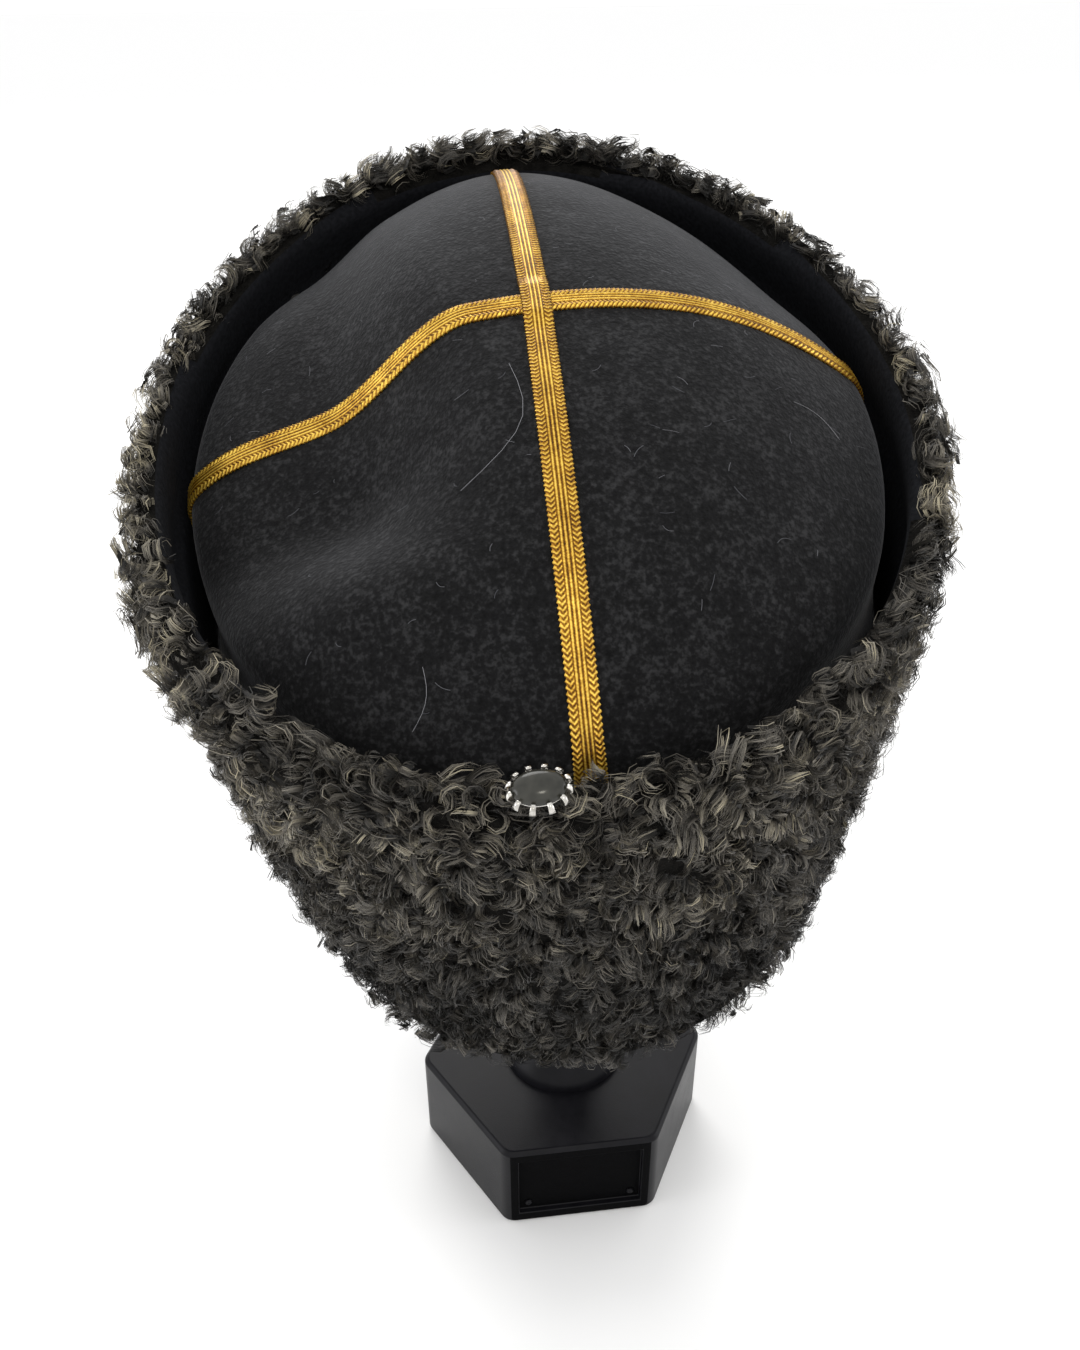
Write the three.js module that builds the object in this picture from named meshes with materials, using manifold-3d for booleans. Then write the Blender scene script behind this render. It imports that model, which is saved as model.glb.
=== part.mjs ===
// Karakul hat on a plain stand, in millimetres, +Z up.
// The origin is the centre of the stand's underside. The hat's front faces +Y, and it leans back on the
// stand, towards -Y, so the hat is modelled upright about the centre of its hem and tilted as a group.

import * as THREE from 'three';
import { mergeVertices } from 'three/addons/utils/BufferGeometryUtils.js';
import Module from 'manifold-3d';

const wasm = await Module();
wasm.setup();

// Fur band: outline from the side, front and top
const hatHeight = 172;
const rimHalfWidth = 108.5;
const rimHalfLength = 130.5;
const hemHalfWidth = 96;
const hemHalfLength = 117;
const rimForward = 6.5;
const rimTilt = 2.3;
const frontNarrowing = 0.086;

// Fur band: wall, rolled rim and curl locks
const wallThickness = 12.5;
const rollHeight = 13;
const rollHalfWidth = 7.25;
const hemRounding = 4;
const lockPitch = 16;
const lockHeight = 4;

// Cloth crown
const clothThickness = 2;
const crownRise = 23;
const crownEdgeDrop = 11;
const crownFullness = 2.4;
const grooveGap = 2.5;
const crownBend = 6;
const skirtDrop = 62;
const crossingRight = 4.5;
const crossingForward = 1;
const dentDepth = 16;

// Braids
const braidWidth = 7;
const braidThickness = 1.2;
const braidTuck = 10;

// Stud at the near end of the long braid
const studLength = 13.6;
const studWidth = 10;
const studHeight = 3.4;
const studWall = 0.7;
const studTeeth = 14;
const studLeft = 10.5;
const studLean = THREE.MathUtils.degToRad(6);
const studInset = 9;

// Stand
const standSide = 61.5;
const standHeight = 45;
const standCornerRadius = 7;
const standBevel = 1.5;
const panelWidth = 51;
const panelHeight = 33;
const panelDepth = 2.5;
const panelRise = 6;
const socketDepth = 12;
const footRadius = 26;
const footHeight = 20;
const postRadius = 13;
const headRadius = 40;
const headRound = 62;
const headThickness = 8;

// How the hat sits on the stand
const seatHeight = 200;
const seatRight = -5;
const hatLean = THREE.MathUtils.degToRad(20);
const hatTip = THREE.MathUtils.degToRad(-5);

// Clearances between pieces
const clearance = 0.3;
const softClearance = 0.5;

// Outer face of the fur band: rise as a share of the height under the rolled rim,
// spread as a share of the way from the hem's outline to the rim's
const bandProfile = [
  { rise: 0.00, spread: 0.00 },
  { rise: 0.16, spread: 0.27 },
  { rise: 0.36, spread: 0.57 },
  { rise: 0.58, spread: 0.84 },
  { rise: 0.80, spread: 0.97 },
  { rise: 1.00, spread: 1.00 },
];

// Edge of the crown by direction from the braids' crossing, counter-clockwise from the hat's right:
// reach as a share of the groove's outline, drop as a share of the crown's edge drop
const crownEdge = [
  { turn: 0, reach: 1.00, drop: 0.80 },
  { turn: 30, reach: 0.97, drop: 1.05 },
  { turn: 60, reach: 0.97, drop: 0.78 },
  { turn: 90, reach: 0.99, drop: 0.45 },
  { turn: 120, reach: 0.98, drop: 0.95 },
  { turn: 150, reach: 1.00, drop: 0.50 },
  { turn: 180, reach: 1.00, drop: 0.50 },
  { turn: 210, reach: 0.99, drop: 0.95 },
  { turn: 240, reach: 1.00, drop: 1.30 },
  { turn: 270, reach: 0.99, drop: 1.20 },
  { turn: 300, reach: 0.99, drop: 0.92 },
  { turn: 330, reach: 1.00, drop: 0.98 },
];

// The dent on the crown's left: start, width and skew as shares of the rim's half width,
// near end and fade as shares of its half length, shallowing and tightening per rim half length forwards.
// Towards the crown's edge it loses a share of its depth, from a share of the way out.
const dent = {
  start: -0.11,
  width: 0.375,
  skew: -0.28,
  nearEnd: -0.56,
  fade: 0.36,
  shallowing: 0.9,
  tightening: 0.44,
  edgeStart: 0.55,
  edgeShallowing: 0.5,
};

// Arms of the braids: direction from the crossing in degrees
const braidArms = {
  front: THREE.MathUtils.degToRad(89.8),
  back: THREE.MathUtils.degToRad(268.4),
  left: THREE.MathUtils.degToRad(181.6),
  right: THREE.MathUtils.degToRad(-0.8),
};

// Facets
const bandRowPitch = 10;
const bandInnerRows = 4;
const crownColumns = 54;
const crownRings = 12;
const braidStep = 4;

const fullTurn = 2 * Math.PI;

// Shared helpers

function mix(from, to, share) {
  return from + (to - from) * share;
}

function smoothStep(share) {
  const t = THREE.MathUtils.clamp(share, 0, 1);
  return t * t * (3 - 2 * t);
}

// A fixed, even scatter between 0 and 1 for a row and a column
function scatter(row, column) {
  const wave = Math.sin(row * 12.9898 + column * 78.233) * 43758.5453;
  return wave - Math.floor(wave);
}

function catmullRom(before, start, end, after, t) {
  const slope = end - before;
  const bend = 2 * before - 5 * start + 4 * end - after;
  const twist = 3 * (start - end) + after - before;
  return start + 0.5 * t * (slope + t * (bend + t * twist));
}

// Value of a column of a table whose rows go evenly round a full turn
function roundTable(table, column, turn) {
  const count = table.length;
  const place = THREE.MathUtils.euclideanModulo(turn, fullTurn) / fullTurn * count;
  const first = Math.floor(place);
  const at = (step) => table[(first + step + count) % count][column];
  return catmullRom(at(-1), at(0), at(1), at(2), place - first);
}

function signedVolume(positions, triangles) {
  const corner = (index) => new THREE.Vector3(...positions.slice(3 * index, 3 * index + 3));
  let volume = 0;
  for (let i = 0; i < triangles.length; i += 3) {
    const [a, b, c] = [corner(triangles[i]), corner(triangles[i + 1]), corner(triangles[i + 2])];
    volume += a.dot(b.cross(c)) / 6;
  }
  return volume;
}

function closedGeometry(points, triangles) {
  const positions = points.flatMap((point) => [point.x, point.y, point.z]);
  const inverted = signedVolume(positions, triangles) < 0;
  const faces = [];
  for (let i = 0; i < triangles.length; i += 3) {
    const [a, b, c] = triangles.slice(i, i + 3);
    faces.push(...(inverted ? [a, c, b] : [a, b, c]));
  }
  const geometry = new THREE.BufferGeometry();
  geometry.setAttribute('position', new THREE.Float32BufferAttribute(positions, 3));
  geometry.setIndex(faces);
  geometry.computeVertexNormals();
  return geometry;
}

// Closed skin through rings of as many points each. A loop joins the last ring to the first,
// otherwise each end closes on its pole. splitAcross picks a quad's diagonal.
function skinRings(rings, { poles = null, splitAcross = () => false } = {}) {
  const count = rings[0].length;
  const points = rings.flat();
  const triangles = [];
  const strips = poles ? rings.length - 1 : rings.length;
  for (let row = 0; row < strips; row += 1) {
    const next = (row + 1) % rings.length;
    for (let column = 0; column < count; column += 1) {
      const side = (column + 1) % count;
      const a = row * count + column;
      const b = row * count + side;
      const c = next * count + side;
      const d = next * count + column;
      triangles.push(...(splitAcross(row, column) ? [a, b, d, b, c, d] : [a, b, c, a, c, d]));
    }
  }
  if (poles) {
    const startPole = points.push(poles[0]) - 1;
    const endPole = points.push(poles[1]) - 1;
    const lastRing = (rings.length - 1) * count;
    for (let column = 0; column < count; column += 1) {
      const side = (column + 1) % count;
      triangles.push(startPole, side, column);
      triangles.push(endPole, lastRing + column, lastRing + side);
    }
  }
  return closedGeometry(points, triangles);
}

function ringOf(count, pointAt) {
  return Array.from({ length: count }, (_, column) => pointAt(column / count * fullTurn, column));
}

// Outward unit normals of a grid of rings that winds counter-clockwise seen from outside
function ringNormals(rings) {
  return rings.map((ring, row) => ring.map((point, column) => {
    const count = ring.length;
    const along = rings[Math.min(row + 1, rings.length - 1)][column].clone().sub(rings[Math.max(row - 1, 0)][column]);
    const across = ring[(column + 1) % count].clone().sub(ring[(column + count - 1) % count]);
    return along.cross(across).normalize();
  }));
}

function solidOf(geometry) {
  const bare = geometry.clone();
  bare.deleteAttribute('normal');
  bare.deleteAttribute('uv');
  const merged = mergeVertices(bare);
  return new wasm.Manifold(new wasm.Mesh({
    numProp: 3,
    vertProperties: merged.attributes.position.array,
    triVerts: merged.index.array,
  }));
}

function geometryOf(solid) {
  const mesh = solid.getMesh();
  const geometry = new THREE.BufferGeometry();
  geometry.setAttribute('position', new THREE.BufferAttribute(mesh.vertProperties, 3));
  geometry.setIndex(new THREE.BufferAttribute(mesh.triVerts, 1));
  geometry.computeVertexNormals();
  return geometry;
}

// Materials

const karakulFur = new THREE.MeshStandardMaterial({ color: 0x3c3b39, roughness: 0.95, metalness: 0, flatShading: true });
const greyFelt = new THREE.MeshStandardMaterial({ color: 0x3a3c44, roughness: 1, metalness: 0 });
const goldGalloon = new THREE.MeshStandardMaterial({ color: 0xb8862b, roughness: 0.45, metalness: 0.6 });
const brightTin = new THREE.MeshStandardMaterial({ color: 0xb9b8b2, roughness: 0.25, metalness: 1 });
const greyEnamel = new THREE.MeshStandardMaterial({ color: 0x6c6b63, roughness: 0.35, metalness: 0.2 });
const blackPlastic = new THREE.MeshStandardMaterial({ color: 0x17171b, roughness: 0.4, metalness: 0 });

function named(name, geometry, material) {
  const mesh = new THREE.Mesh(geometry, material);
  mesh.name = name;
  return mesh;
}

// Hat outline

// A point of the egg-shaped outline at a height: spread goes from the hem's outline to the rim's,
// inset is the distance inside it
function hatPoint(spread, inset, height, turn) {
  const halfWidth = mix(hemHalfWidth, rimHalfWidth, spread) - inset;
  const halfLength = mix(hemHalfLength, rimHalfLength, spread) - inset;
  const rise = height / hatHeight;
  return new THREE.Vector3(
    halfWidth * Math.cos(turn) * (1 - frontNarrowing * Math.sin(turn)),
    halfLength * Math.sin(turn) + rimForward * rise,
    height + rimTilt * Math.sin(turn) * rise,
  );
}

// Spread of the band's outer face at a height
function spreadAt(height) {
  const rise = THREE.MathUtils.clamp(height / (hatHeight - rollHeight), 0, 1);
  const last = bandProfile.length - 1;
  const upper = Math.max(1, bandProfile.findIndex((row) => row.rise >= rise));
  const at = (index) => bandProfile[THREE.MathUtils.clamp(index, 0, last)];
  const [low, high] = [at(upper - 1), at(upper)];
  const share = (rise - low.rise) / (high.rise - low.rise);
  return catmullRom(at(upper - 2).spread, low.spread, high.spread, at(upper + 1).spread, share);
}

// Fur band

// The pelt's furry side as points of inset and height, from the hem over the rolled rim into the groove
function furSection() {
  const rollBase = hatHeight - rollHeight;
  const grooveFloor = rollBase - rollHeight;
  const hemEdge = new THREE.QuadraticBezierCurve(
    new THREE.Vector2(hemRounding, 0),
    new THREE.Vector2(0, 0),
    new THREE.Vector2(0, hemRounding),
  );
  const face = new THREE.LineCurve(new THREE.Vector2(0, hemRounding), new THREE.Vector2(0, rollBase));
  const roll = new THREE.EllipseCurve(rollHalfWidth, rollBase, rollHalfWidth, rollHeight, Math.PI, 0, true);
  const groove = new THREE.LineCurve(
    new THREE.Vector2(2 * rollHalfWidth, rollBase),
    new THREE.Vector2(wallThickness, grooveFloor),
  );
  const rowsOf = (curve) => 2 * Math.ceil(curve.getLength() / bandRowPitch / 2);
  const points = [hemEdge.getPoint(0)];
  points.push(...face.getSpacedPoints(rowsOf(face)));
  points.push(...roll.getSpacedPoints(rowsOf(roll)).slice(1));
  points.push(...groove.getSpacedPoints(rowsOf(groove)).slice(1));
  return points;
}

function rimPerimeter() {
  const rim = new THREE.EllipseCurve(0, 0, rimHalfWidth, rimHalfLength);
  return rim.getLength();
}

function furBand() {
  const columns = 2 * Math.round(rimPerimeter() / lockPitch);
  const section = furSection();
  const isTip = (row, column) => (row + column) % 2 === 0;
  const rings = section.map(({ x: inset, y: height }, row) => {
    const edgeRow = row === 0 || row === section.length - 1;
    return ringOf(columns, (turn, column) => {
      const share = isTip(row, column) ? 0.3 * scatter(row, column) : 0.7 + 0.3 * scatter(row, column);
      const depth = edgeRow ? 0 : lockHeight * share;
      const overRoll = THREE.MathUtils.clamp((height - hatHeight + rollHeight) / rollHeight, 0, 1);
      const outward = 1 - THREE.MathUtils.clamp((inset - hemRounding) / (rollHalfWidth - hemRounding), 0, 1);
      const inwards = inset > rollHalfWidth ? -1 : outward;
      const lean = Math.sqrt(1 - overRoll * overRoll);
      return hatPoint(spreadAt(height), inset + depth * lean * inwards, height - depth * overRoll, turn);
    });
  });
  const grooveFloor = hatHeight - 2 * rollHeight;
  for (let row = 1; row <= bandInnerRows; row += 1) {
    const height = grooveFloor * (1 - row / bandInnerRows);
    rings.push(ringOf(columns, (turn) => hatPoint(spreadAt(height), wallThickness, height, turn)));
  }
  return skinRings(rings, { splitAcross: isTip });
}

// Cloth crown

const crossing = new THREE.Vector2(crossingRight, crossingForward + rimForward);
const peakHeight = hatHeight + crownRise;
const grooveInset = 2 * rollHalfWidth + grooveGap;

// Distance from the crossing to the crown's upright edge in a direction
function crownReach(turn) {
  const outlineAt = (angle) => {
    const point = hatPoint(1, grooveInset, hatHeight, angle);
    return new THREE.Vector2(point.x, point.y).sub(crossing);
  };
  let angle = turn;
  for (let pass = 0; pass < 12; pass += 1) {
    const error = turn - outlineAt(angle).angle();
    angle += Math.atan2(Math.sin(error), Math.cos(error));
  }
  return outlineAt(angle).length() * roundTable(crownEdge, 'reach', turn);
}

function dentAt(right, forward, share) {
  const ahead = forward / rimHalfLength;
  const start = (dent.start + dent.skew * ahead) * rimHalfWidth;
  const width = dent.width * rimHalfWidth * (1 - dent.tightening * ahead);
  const side = smoothStep((start - right) / width);
  const fade = smoothStep((ahead - dent.nearEnd) / dent.fade);
  const nearEdge = 1 - dent.edgeShallowing * smoothStep((share - dent.edgeStart) / (1 - dent.edgeStart));
  return dentDepth * (1 - dent.shallowing * ahead) * side * fade * nearEdge;
}

// A point of the cloth's outside: share goes from 0 at the crossing to 1 where it starts to bend down,
// and drop is how far it has bent down the upright skirt
function crownPoint(share, turn, drop = 0) {
  const reach = crownReach(turn);
  const bent = Math.min(drop / crownBend, 1);
  const outward = share * (reach - crownBend) + crownBend * Math.sqrt(bent * (2 - bent));
  const right = crossing.x + outward * Math.cos(turn);
  const forward = crossing.y + outward * Math.sin(turn);
  const edge = hatHeight - crownEdgeDrop * roundTable(crownEdge, 'drop', turn);
  const dome = edge + (peakHeight - edge) * (1 - share ** crownFullness);
  return new THREE.Vector3(right, forward, dome - dentAt(right, forward - rimForward, share) - drop);
}

// The skirt's foot flares out to the band's inner wall
function skirtFoot(turn) {
  const height = hatHeight - skirtDrop;
  return hatPoint(spreadAt(height), wallThickness + softClearance, height, turn);
}

function crownShell() {
  const outside = [];
  for (let ring = 1; ring <= crownRings; ring += 1) {
    const share = (ring / crownRings) ** 0.9;
    outside.push(ringOf(crownColumns, (turn) => crownPoint(share, turn)));
  }
  for (const drop of [0.35 * crownBend, crownBend, 3 * crownBend]) {
    outside.push(ringOf(crownColumns, (turn) => crownPoint(1, turn, drop)));
  }
  const foot = ringOf(crownColumns, (turn) => {
    const above = crownPoint(1, turn, 3 * crownBend);
    return skirtFoot(Math.atan2(above.y / hemHalfLength, above.x / hemHalfWidth));
  });
  outside.push(foot);
  const normals = ringNormals(outside);
  const inside = outside.map((ring, row) => ring.map((point, column) => (
    point.clone().addScaledVector(normals[row][column], -clothThickness)
  )));
  inside[inside.length - 1].forEach((point) => {
    point.z = hatHeight - skirtDrop;
  });
  const peak = crownPoint(0, 0);
  const innerPeak = peak.clone().setZ(peak.z - clothThickness);
  return {
    geometry: skinRings([...inside, ...outside.toReversed()], { poles: [innerPeak, peak] }),
    inside: [innerPeak, ...inside.flat()],
  };
}

const crown = crownShell();

// Braids

const crownMesh = new THREE.Mesh(crown.geometry, greyFelt);
const plumb = new THREE.Raycaster();

// The cloth's facets under a point of the plan
function clothPoint(right, forward) {
  plumb.set(new THREE.Vector3(right, forward, 2 * peakHeight), new THREE.Vector3(0, 0, -1));
  return plumb.intersectObject(crownMesh)[0].point;
}

// A point beside an arm of a braid, measured along it from the crossing; past the crown's edge it goes
// down the skirt
function armPoint(turn, along, aside) {
  const flat = crownReach(turn) - crownBend;
  if (along <= flat) {
    const spot = new THREE.Vector2(along, aside).rotateAround(new THREE.Vector2(), turn).add(crossing);
    return clothPoint(spot.x, spot.y);
  }
  return crownPoint(1, turn + Math.atan2(aside, flat), along - flat);
}

function braidRibbon(startArm, endArm, liftAt) {
  const armLength = (turn) => crownReach(turn) - crownBend + braidTuck;
  const stations = [];
  const startSteps = Math.round(armLength(startArm) / braidStep);
  const endSteps = Math.round(armLength(endArm) / braidStep);
  for (let step = startSteps; step > 0; step -= 1) {
    stations.push({ turn: startArm, along: armLength(startArm) * step / startSteps, facing: -1 });
  }
  for (let step = 1; step <= endSteps; step += 1) {
    stations.push({ turn: endArm, along: armLength(endArm) * step / endSteps, facing: 1 });
  }
  const sides = [-1, 0, 1];
  const tracks = stations.map(({ turn, along, facing }) => (
    sides.map((side) => armPoint(turn, along, facing * side * braidWidth / 2))
  ));
  const rings = tracks.map((track, index) => {
    const before = tracks[Math.max(index - 1, 0)][1];
    const after = tracks[Math.min(index + 1, tracks.length - 1)][1];
    const forwards = after.clone().sub(before);
    const up = track[2].clone().sub(track[0]).cross(forwards).normalize().negate();
    const raised = (height) => track.map((point) => point.clone().addScaledVector(up, height));
    const lift = liftAt(stations[index].along);
    return [...raised(lift), ...raised(lift + braidThickness).toReversed()];
  });
  const middle = (ring) => ring[1].clone().add(ring[4]).multiplyScalar(0.5);
  return skinRings(rings, { poles: [middle(rings[0]), middle(rings[rings.length - 1])] });
}

function crossBraid() {
  return braidRibbon(braidArms.left, braidArms.right, () => softClearance);
}

// The long braid steps over the cross braid
function longBraid() {
  const overlap = braidThickness + clearance;
  const liftAt = (along) => {
    const beyond = (along - braidWidth / 2 - braidThickness) / (2 * braidStep);
    return softClearance + overlap * (1 - smoothStep(beyond));
  };
  return braidRibbon(braidArms.front, braidArms.back, liftAt);
}

// Stud

function ovalRing(columns, halfLength, halfWidth, height, heightAt = () => 0) {
  return ringOf(columns, (turn, column) => new THREE.Vector3(
    halfLength * Math.cos(turn),
    halfWidth * Math.sin(turn),
    height + heightAt(column),
  ));
}

function studSetting() {
  const columns = 4 * studTeeth;
  const half = [studLength / 2, studWidth / 2];
  const within = (inset) => half.map((size) => size - inset);
  const toothHeight = 0.3 * studHeight;
  const tooth = (column) => (column % 4 < 2 ? toothHeight : 0);
  const wallTop = 0.3 * studHeight;
  const rings = [
    ovalRing(columns, ...within(0), 0),
    ovalRing(columns, ...within(0), wallTop, tooth),
    ovalRing(columns, ...within(studWall), wallTop, tooth),
    ovalRing(columns, ...within(studWall), studWall),
  ];
  const onAxis = (height) => new THREE.Vector3(0, 0, height);
  return skinRings(rings, { poles: [onAxis(0), onAxis(studWall)] });
}

function studDome() {
  const columns = 24;
  const floor = studWall + clearance;
  const inset = studWall + clearance;
  const rise = studHeight - floor;
  const rings = [0, 0.25, 0.5, 0.7, 0.9].map((share) => {
    const narrow = Math.cos(share * Math.PI / 2);
    const height = floor + rise * Math.sin(share * Math.PI / 2);
    return ovalRing(columns, (studLength / 2 - inset) * narrow, (studWidth / 2 - inset) * narrow, height);
  });
  const poles = [new THREE.Vector3(0, 0, floor), new THREE.Vector3(0, 0, studHeight)];
  return skinRings(rings, { poles });
}

// The stud lies on the near side of the rolled rim
function studPlace() {
  const turn = 1.5 * Math.PI - Math.asin(studLeft / rimHalfWidth);
  const tilt = new THREE.Vector3(0, -Math.sin(studLean), Math.cos(studLean));
  const crest = hatPoint(1, studInset, hatHeight, turn);
  return { place: crest.addScaledVector(tilt, clearance), lean: studLean };
}

// Stand

function roundedHexagon(side, cornerRadius) {
  const trim = cornerRadius * Math.tan(Math.PI / 6);
  const corner = (index) => new THREE.Vector2(
    side * Math.cos(index * Math.PI / 3),
    side * Math.sin(index * Math.PI / 3),
  );
  const shape = new THREE.Shape();
  for (let index = 0; index < 6; index += 1) {
    const [before, here, after] = [corner(index + 5), corner(index), corner(index + 1)];
    const entry = here.clone().lerp(before, trim / side);
    const exit = here.clone().lerp(after, trim / side);
    if (index === 0) {
      shape.moveTo(entry.x, entry.y);
    } else {
      shape.lineTo(entry.x, entry.y);
    }
    shape.quadraticCurveTo(here.x, here.y, exit.x, exit.y);
  }
  shape.closePath();
  return shape;
}

const socketFloor = standHeight - socketDepth;

function standBase() {
  const inset = standBevel * 2 / Math.sqrt(3);
  const block = new THREE.ExtrudeGeometry(roundedHexagon(standSide - inset, standCornerRadius), {
    depth: standHeight - 2 * standBevel,
    curveSegments: 5,
    bevelThickness: standBevel,
    bevelSize: standBevel,
    bevelSegments: 2,
  });
  block.translate(0, 0, standBevel);
  const nearFace = standSide * Math.sqrt(3) / 2;
  const panel = new THREE.BoxGeometry(panelWidth, 2 * panelDepth, panelHeight);
  panel.translate(0, -nearFace, panelRise + panelHeight / 2);
  const socket = new THREE.CylinderGeometry(footRadius + clearance, footRadius + clearance, 2 * socketDepth, 48);
  socket.rotateX(Math.PI / 2);
  socket.translate(0, 0, standHeight);
  return geometryOf(solidOf(block).subtract(solidOf(panel)).subtract(solidOf(socket)));
}

// Height of the head's top: it rises until it meets the crown's underside
function headTop(hat) {
  hat.updateMatrixWorld(true);
  const heights = crown.inside
    .map((point) => point.clone().applyMatrix4(hat.matrixWorld))
    .filter((point) => Math.hypot(point.x, point.y) < headRadius && point.z > seatHeight)
    .map((point) => point.z + headRound - Math.sqrt(headRound ** 2 - point.x ** 2 - point.y ** 2));
  return Math.min(...heights) - softClearance;
}

function standPost(top) {
  const foot = socketFloor + clearance;
  const rimDrop = headRound - Math.sqrt(headRound ** 2 - headRadius ** 2);
  const rim = top - rimDrop;
  const underHead = rim - headThickness;
  const profile = [
    new THREE.Vector2(0, foot),
    new THREE.Vector2(footRadius, foot),
    new THREE.Vector2(footRadius, standHeight + 0.15 * footHeight),
    new THREE.Vector2(postRadius, standHeight + footHeight),
    new THREE.Vector2(postRadius, underHead - headRadius / 2),
    new THREE.Vector2(headRadius - headThickness, underHead),
    new THREE.Vector2(headRadius, rim - headThickness / 2),
    new THREE.Vector2(headRadius, rim),
  ];
  for (let step = 4; step > 0; step -= 1) {
    const radius = headRadius * step / 5;
    profile.push(new THREE.Vector2(radius, top - headRound + Math.sqrt(headRound ** 2 - radius ** 2)));
  }
  profile.push(new THREE.Vector2(0, top));
  return geometryOf(solidOf(new THREE.LatheGeometry(profile, 28).rotateX(Math.PI / 2)));
}

// Assembly

const hat = new THREE.Group();
hat.add(named('fur_band', furBand(), karakulFur));
hat.add(named('crown_cap', crown.geometry, greyFelt));
hat.add(named('braid_cross', crossBraid(), goldGalloon));
hat.add(named('braid_long', longBraid(), goldGalloon));
const stud = new THREE.Group();
stud.add(named('stud_setting', studSetting(), brightTin));
stud.add(named('stud_dome', studDome(), greyEnamel));
stud.position.copy(studPlace().place);
stud.rotation.x = studPlace().lean;
hat.add(stud);
hat.rotation.set(hatLean, hatTip, 0);
hat.position.set(seatRight, 0, seatHeight);

const assembly = new THREE.Group();
assembly.add(hat);
assembly.add(named('stand_base', standBase(), blackPlastic));
assembly.add(named('stand_post', standPost(headTop(hat)), blackPlastic));

export default assembly;
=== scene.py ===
# Karakul hat on a plain stand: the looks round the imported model.
# The hat is worked out in its own frame, in millimetres, upright about the centre of its hem, and is
# then leaned back on the stand. The stand is worked out about its own axis. Meshes end up in metres.

import math
from itertools import product

import bpy
import numpy as np
from mathutils import Matrix, Vector


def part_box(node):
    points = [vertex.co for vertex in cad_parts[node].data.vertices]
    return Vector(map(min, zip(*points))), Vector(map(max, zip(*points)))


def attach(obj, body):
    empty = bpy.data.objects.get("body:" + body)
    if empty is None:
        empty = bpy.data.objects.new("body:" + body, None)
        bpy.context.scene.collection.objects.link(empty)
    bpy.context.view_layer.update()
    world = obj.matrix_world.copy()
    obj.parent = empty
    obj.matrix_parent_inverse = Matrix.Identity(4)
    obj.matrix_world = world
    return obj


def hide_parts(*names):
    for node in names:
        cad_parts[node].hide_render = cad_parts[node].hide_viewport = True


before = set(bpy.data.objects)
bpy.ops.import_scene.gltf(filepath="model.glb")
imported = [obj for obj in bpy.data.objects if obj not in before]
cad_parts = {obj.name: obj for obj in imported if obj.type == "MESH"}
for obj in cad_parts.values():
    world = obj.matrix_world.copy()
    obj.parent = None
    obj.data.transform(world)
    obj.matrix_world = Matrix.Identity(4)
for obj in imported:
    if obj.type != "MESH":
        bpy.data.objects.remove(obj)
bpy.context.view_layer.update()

MM = 0.001
FULL_TURN = 2 * math.pi

# Hat: outline
HAT_HEIGHT = 172.0
RIM_HALF_WIDTH = 108.5
RIM_HALF_LENGTH = 130.5
HEM_HALF_WIDTH = 96.0
HEM_HALF_LENGTH = 117.0
RIM_FORWARD = 6.5
RIM_TILT = 2.3
FRONT_NARROWING = 0.086

# Hat: pelt wall and rolled rim
WALL_THICKNESS = 12.5
ROLL_HEIGHT = 13.0
ROLL_HALF_WIDTH = 7.25
HEM_ROUNDING = 4.0
HEM_STEPS = 12
ROLL_BASE = HAT_HEIGHT - ROLL_HEIGHT
GROOVE_FLOOR = ROLL_BASE - ROLL_HEIGHT

# Hat: cloth crown
CLOTH_THICKNESS = 2.0
CROWN_RISE = 23.0
CROWN_EDGE_DROP = 11.0
CROWN_FULLNESS = 2.4
GROOVE_GAP = 2.5
CROWN_BEND = 5.0
STEEPEST_EDGE = math.radians(42)
SKIRT_DROP = 62.0
SOFT_CLEARANCE = 0.5
DENT_DEPTH = 19.8
CROSSING = np.array([4.5, 1.0 + RIM_FORWARD])
PEAK = HAT_HEIGHT + CROWN_RISE

# Hat: braids and stud
BRAID_HALF_WIDTH = 3.5
BRAID_THICKNESS = 1.2
BRAID_TUCK = 22.0
STUD_LENGTH = 13.6
STUD_WIDTH = 10.0
STUD_HEIGHT = 3.4
STUD_LEFT = 10.5
STUD_LEAN = math.radians(6)
STUD_INSET = 6.4

# Stand
STAND_SIDE = 61.5
STAND_HEIGHT = 45.0
STAND_CORNER_RADIUS = 7.0
STAND_BEVEL = 1.5
PANEL_WIDTH = 51.0
PANEL_HEIGHT = 33.0
PANEL_DEPTH = 2.5
PANEL_RISE = 6.0
FOOT_RADIUS = 26.0
FOOT_HEIGHT = 20.0
POST_RADIUS = 13.0
HEAD_ROUND = 62.0
SCREW_PROFILE = [(0, 0), (1.5, 0), (1.5, 0.5), (1.1, 0.9), (0.5, 1.0), (0.35, 0.6), (0, 0.6)]

# How the hat sits: leaned back on the stand and tipped to its left
HAT_SEAT = Matrix.Translation((-0.005, 0, 0.2))
HAT_TURN = Matrix.Rotation(math.radians(20), 4, "X") @ Matrix.Rotation(math.radians(-5), 4, "Y")
HAT_PLACE = HAT_SEAT @ HAT_TURN

# Camera in the hat's frame: place in millimetres, turn in radians, and focal length for a 36 mm sensor
CAMERA_PLACE = Vector((-16.13, -249.17, 384.03))
CAMERA_DOWN = 0.925
CAMERA_YAW = -0.056
CAMERA_ROLL = -0.078
CAMERA_LENS = 32.92

# Outer face of the fur band: rise as a share of the height under the rolled rim, spread from hem to rim
BAND_PROFILE = np.array([[0.00, 0.00], [0.16, 0.27], [0.36, 0.57], [0.58, 0.84], [0.80, 0.97], [1.00, 1.00]])

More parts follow.
